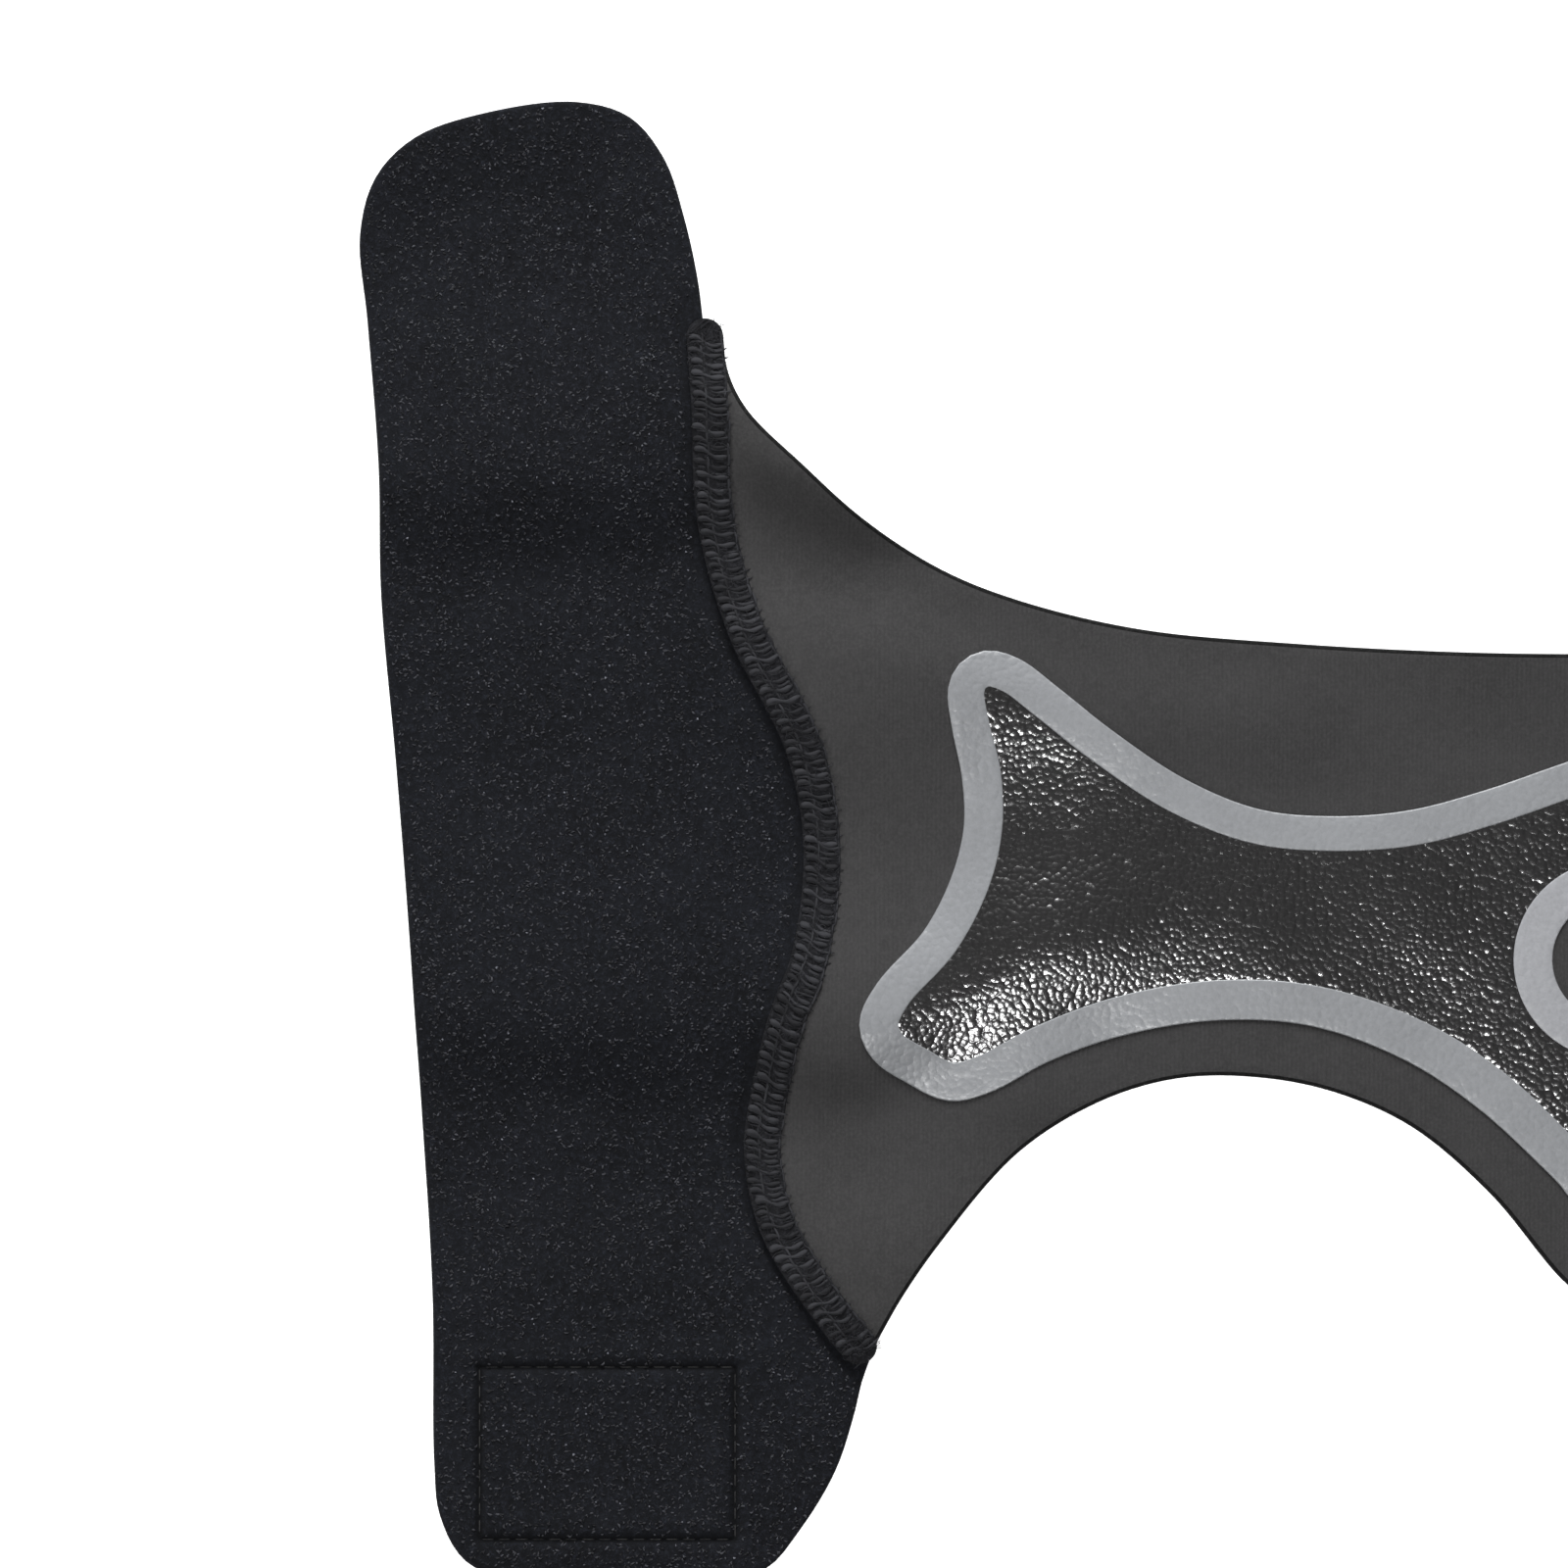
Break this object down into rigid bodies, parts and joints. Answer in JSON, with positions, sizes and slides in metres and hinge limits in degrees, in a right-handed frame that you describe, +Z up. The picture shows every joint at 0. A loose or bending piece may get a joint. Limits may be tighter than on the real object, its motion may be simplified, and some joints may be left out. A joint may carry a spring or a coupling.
{
  "type": "ankle brace",
  "caption": "Wrap-around ankle brace laid flat: stretch panel with a heel arch and a raised silicone support, two loop-pile straps and hook tape.",
  "frame": {"origin": "middle of the brace's outline, on the surface that it lies on", "axes": "+X from strap to strap, +Y along the straps towards the upper ears, +Z up out of the outer face"},
  "size_m": [0.434, 0.2571, 0.0069],
  "materials": {
    "laminate": "matt knitted face on foam, dark grey",
    "loop_pile": "brushed loop pile, blue-black",
    "seam_thread": "textured polyester thread, dark grey",
    "hook_tape": "black moulded hooks on woven tape",
    "grey_silicone": "satin grey printed silicone",
    "black_silicone": "glossy black printed silicone with a fine grain"
  },
  "bodies": {
    "root": {"body_panel": "laminate", "strap_left": "loop_pile", "strap_right": "loop_pile", "seam_left": "seam_thread", "seam_right": "seam_thread", "hook_patch_left": "hook_tape", "hook_patch_right": "hook_tape", "support_band": "grey_silicone", "ankle_ring": "grey_silicone", "support_fill": "black_silicone"}
  },
  "joints": []
}
